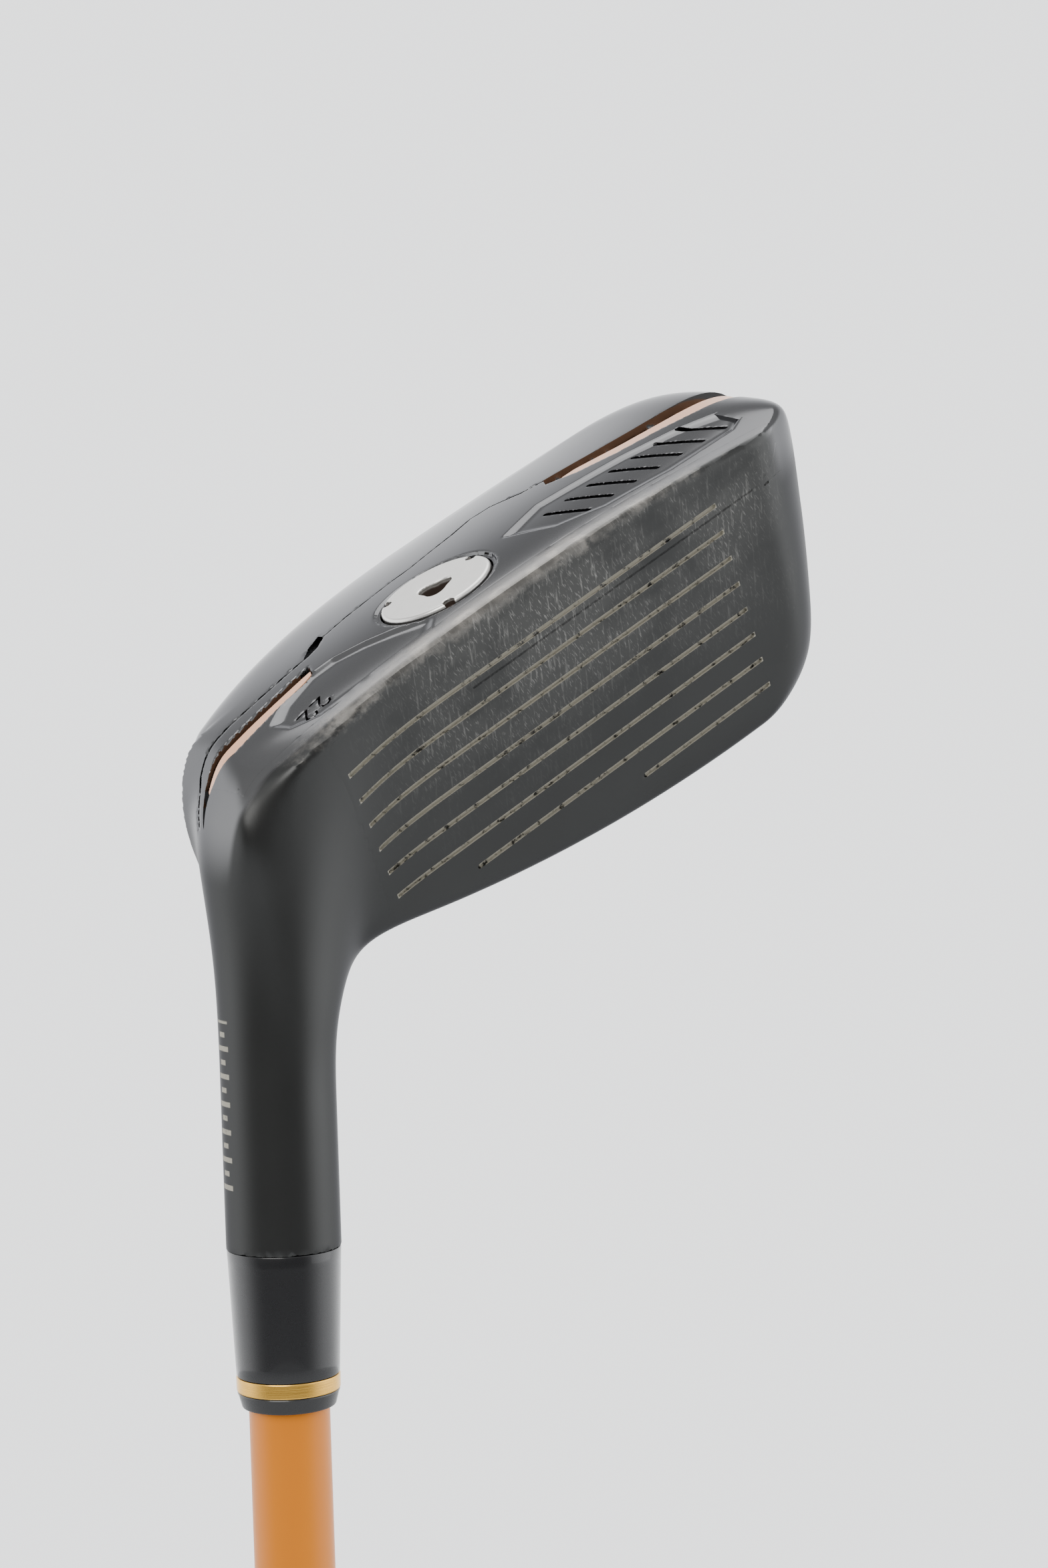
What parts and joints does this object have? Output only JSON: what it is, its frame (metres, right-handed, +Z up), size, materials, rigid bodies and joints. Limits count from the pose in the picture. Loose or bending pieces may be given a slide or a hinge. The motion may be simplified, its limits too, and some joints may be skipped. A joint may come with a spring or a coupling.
{
  "type": "golf club",
  "caption": "Right-handed hybrid golf club with a hollow steel head, bonded shaft and ferrule, rubber grip, and a weight screw in the sole.",
  "frame": {"origin": "centre of the grip's butt face, at the mouth of the vent hole", "axes": "+Z runs up the shaft from the butt to the head, +X points towards the toe, and the club face looks towards -Y"},
  "size_m": [0.0915, 0.0663, 1.0412],
  "materials": {
    "head_casting": "satin dark nickel plate on cast stainless steel",
    "face_steel": "satin dark nickel plate, worn by play",
    "crown_steel": "gloss black lacquer",
    "sole_steel": "polished black nickel plate",
    "copper_strip": "matt copper-coloured enamel",
    "weight_steel": "bright nickel plate",
    "seal_rubber": "matt",
    "inner_steel": "as machined",
    "plug_foam": "matt",
    "hot_melt": "tacky amber adhesive",
    "epoxy": "cured adhesive",
    "ferrule_black": "polished black",
    "trim_gold": "satin gold",
    "shaft_paint": "gloss orange lacquer over composite",
    "tip_brass": "turned",
    "tape": "paper-backed adhesive tape",
    "grip_rubber": "moulded, textured",
    "cap_rubber": "moulded, harder than the grip"
  },
  "bodies": {
    "club": {"head_body": "head_casting", "face_plate": "face_steel", "crown_plate": "crown_steel", "sole_plate": "sole_steel", "toe_channel_inlay": "copper_strip", "heel_channel_inlay": "copper_strip", "weight_port_bush": "inner_steel", "bore_plug": "plug_foam", "hot_melt_pad": "hot_melt", "hosel_epoxy": "epoxy", "ferrule_sleeve": "ferrule_black", "ferrule_trim_ring": "trim_gold", "ferrule_end_ring": "ferrule_black", "shaft": "shaft_paint", "tip_weight": "tip_brass", "grip_tape": "tape", "grip_sleeve": "grip_rubber", "grip_cap": "cap_rubber"},
    "weight_seal": {"weight_seal_ring": "seal_rubber"},
    "weight_screw": {"sole_weight": "weight_steel"}
  },
  "joints": [
    {"name": "weight_lift", "type": "slide", "parent": "club", "child": "weight_seal", "axis": [-0.5067, -0.1219, 0.8534], "range_m": [0, 0.005]},
    {"name": "weight_turn", "type": "hinge", "parent": "weight_seal", "child": "weight_screw", "pos_m": [0.02299, 0.0029, 1.01853], "axis": [-0.5067, -0.1219, 0.8534], "range_deg": [0, 1440.01]}
  ],
  "couplings": [
    {"joint": "weight_turn", "follows": "weight_lift", "rad_per_m": 5026.5}
  ]
}
